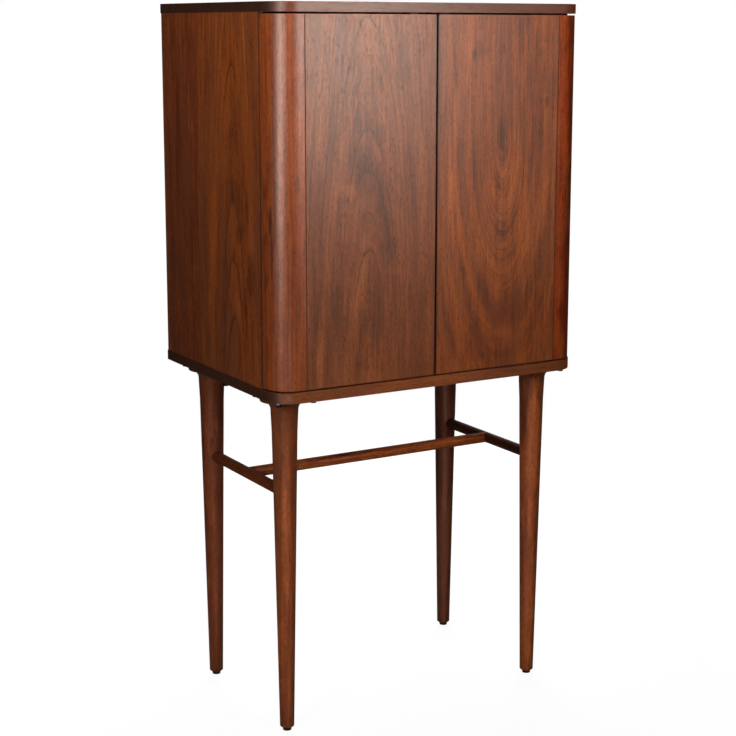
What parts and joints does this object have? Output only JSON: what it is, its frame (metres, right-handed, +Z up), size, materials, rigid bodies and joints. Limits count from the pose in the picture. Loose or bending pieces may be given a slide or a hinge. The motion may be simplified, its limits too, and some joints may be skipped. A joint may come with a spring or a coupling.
{
  "type": "bar cabinet",
  "caption": "Bar cabinet on four turned legs, with two doors that wrap round the front corners and a leaf inside that folds out from a half-depth shelf.",
  "frame": {"origin": "on the floor, under the middle of the top and bottom boards' rectangle", "axes": "+X to the cabinet's right as seen from the front, -Y out of the front, +Z up"},
  "size_m": [0.661, 0.485, 1.35],
  "materials": {
    "walnut_top": "satin oil, dark horizontal grain",
    "walnut_solid": "satin oil, straight grain",
    "walnut_veneer": "satin lacquer, vertical crown-cut grain",
    "walnut_inside": "satin lacquer",
    "beech": "raw",
    "brass": "brushed",
    "zinc_steel": "zinc plated",
    "dark_steel": "black oxide",
    "black_nylon": "matt",
    "latch_plastic": "matt brown"
  },
  "bodies": {
    "carcass": {"top_board": "walnut_top", "bottom_board": "walnut_solid", "leg_front_left": "walnut_solid", "leg_front_right": "walnut_solid", "leg_rear_left": "walnut_solid", "leg_rear_right": "walnut_solid", "left_side_stretcher": "walnut_solid", "right_side_stretcher": "walnut_solid", "long_stretcher": "walnut_solid", "left_side_panel": "walnut_veneer", "right_side_panel": "walnut_veneer", "back_panel": "walnut_veneer", "middle_shelf": "walnut_inside", "left_leaf_ledger": "walnut_inside", "right_leaf_ledger": "walnut_inside", "stemware_rail_1": "walnut_inside", "stemware_rail_2": "walnut_inside", "stemware_rail_3": "walnut_inside", "stemware_rail_4": "walnut_inside", "bottle_grid_long_slats": "walnut_inside", "bottle_grid_cross_slats": "walnut_inside", "carcass_dowels": "beech", "left_pivot_plates": "brass", "right_pivot_plates": "brass", "left_leaf_hinge_fixed_flap": "brass", "right_leaf_hinge_fixed_flap": "brass", "leaf_hinge_pins": "brass", "shelf_hinge_screws": "brass", "leg_mounting_plates": "zinc_steel", "leg_hanger_studs": "zinc_steel", "back_panel_screws": "zinc_steel", "leg_plate_bolts": "dark_steel", "side_panel_bolts": "dark_steel", "foot_glides": "black_nylon", "left_latch_body": "latch_plastic", "right_latch_body": "latch_plastic"},
    "left_door": {"left_door_panel": "walnut_veneer", "left_corner_post": "walnut_solid", "left_pivot_leaves": "brass", "left_strike_plate": "zinc_steel", "left_rack_floor": "walnut_inside", "left_rack_cheeks": "walnut_inside", "left_rack_rail": "brass"},
    "right_door": {"right_door_panel": "walnut_veneer", "right_corner_post": "walnut_solid", "right_pivot_leaves": "brass", "right_strike_plate": "zinc_steel", "right_rack_floor": "walnut_inside", "right_rack_cheeks": "walnut_inside", "right_rack_rail": "brass"},
    "leaf": {"fold_out_leaf": "walnut_inside", "left_leaf_hinge_moving_flap": "brass", "right_leaf_hinge_moving_flap": "brass", "leaf_hinge_screws": "brass"},
    "left_plunger": {"left_latch_plunger": "latch_plastic"},
    "right_plunger": {"right_latch_plunger": "latch_plastic"}
  },
  "joints": [
    {"name": "left_door_hinge", "type": "hinge", "parent": "carcass", "child": "left_door", "pos_m": [-0.3255, -0.187, 1], "axis": [0, 0, -1], "range_deg": [0, 110]},
    {"name": "right_door_hinge", "type": "hinge", "parent": "carcass", "child": "right_door", "pos_m": [0.3255, -0.187, 1], "axis": [0, 0, 1], "range_deg": [0, 110]},
    {"name": "leaf_hinge", "type": "hinge", "parent": "carcass", "child": "leaf", "pos_m": [0, 0.0305, 1.01], "axis": [1, 0, 0], "range_deg": [0, 180]},
    {"name": "left_latch_press", "type": "slide", "parent": "carcass", "child": "left_plunger", "axis": [0, 1, 0], "range_m": [0, 0.002], "stiffness_N_per_m": 400, "springref_m": -0.004},
    {"name": "right_latch_press", "type": "slide", "parent": "carcass", "child": "right_plunger", "axis": [0, 1, 0], "range_m": [0, 0.002], "stiffness_N_per_m": 400, "springref_m": -0.004}
  ]
}
